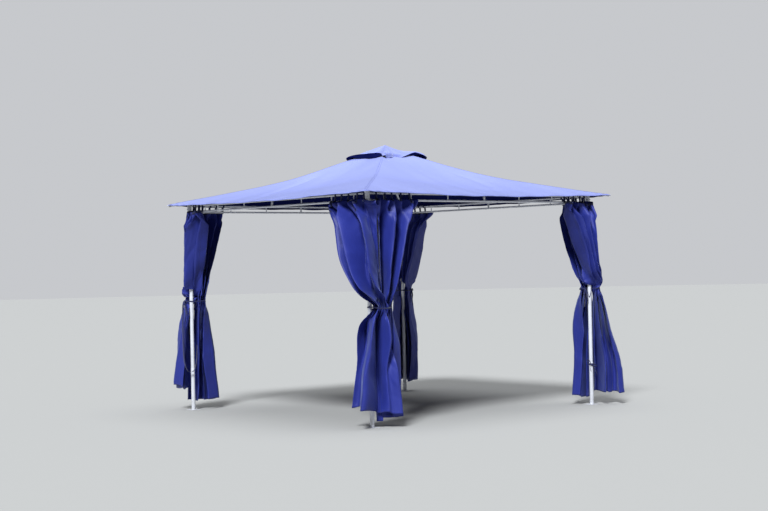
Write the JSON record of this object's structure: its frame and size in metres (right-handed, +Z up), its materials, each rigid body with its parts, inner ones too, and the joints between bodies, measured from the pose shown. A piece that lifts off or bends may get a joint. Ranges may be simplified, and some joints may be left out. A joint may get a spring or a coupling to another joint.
{
  "type": "garden gazebo",
  "caption": "Open square garden gazebo with round steel posts, two-tube eave trusses, a sagging vented fabric roof and long curtains tied back at the corners.",
  "frame": {"origin": "centre of the plan, on the ground under the foot plates", "axes": "+Z up, X and Y along the eaves, the front side faces -Y"},
  "size_m": [3.164, 3.164, 2.6156],
  "materials": {
    "steel": "satin light grey powder coat on thin steel tube",
    "roof_fabric": "coated navy blue polyester, slightly faded on top, soft sheen",
    "curtain_fabric": "plain-woven navy blue polyester, matt with a faint sheen"
  },
  "bodies": {
    "root": {"foot_plate_front_left": "steel", "foot_plate_front_right": "steel", "foot_plate_back_left": "steel", "foot_plate_back_right": "steel", "post_lower_front_left": "steel", "post_lower_front_right": "steel", "post_lower_back_left": "steel", "post_lower_back_right": "steel", "post_upper_front_left": "steel", "post_upper_front_right": "steel", "post_upper_back_left": "steel", "post_upper_back_right": "steel", "corner_head_front_left": "steel", "corner_head_front_right": "steel", "corner_head_back_left": "steel", "corner_head_back_right": "steel", "truss_front_left_half": "steel", "truss_front_right_half": "steel", "truss_back_left_half": "steel", "truss_back_right_half": "steel", "truss_left_front_half": "steel", "truss_left_back_half": "steel", "truss_right_front_half": "steel", "truss_right_back_half": "steel", "rafter_front_left": "steel", "rafter_front_right": "steel", "rafter_back_left": "steel", "rafter_back_right": "steel", "crown_hub": "steel", "vent_frame": "steel", "canopy": "roof_fabric", "vent_cap": "roof_fabric", "curtain_front_left_side": "curtain_fabric", "curtain_front_left_end": "curtain_fabric", "curtain_front_right_side": "curtain_fabric", "curtain_front_right_end": "curtain_fabric", "curtain_back_left_side": "curtain_fabric", "curtain_back_left_end": "curtain_fabric", "curtain_back_right_side": "curtain_fabric", "curtain_back_right_end": "curtain_fabric", "tieback_front_left": "curtain_fabric", "tieback_front_right": "curtain_fabric", "tieback_back_left": "curtain_fabric", "tieback_back_right": "curtain_fabric"}
  },
  "joints": []
}
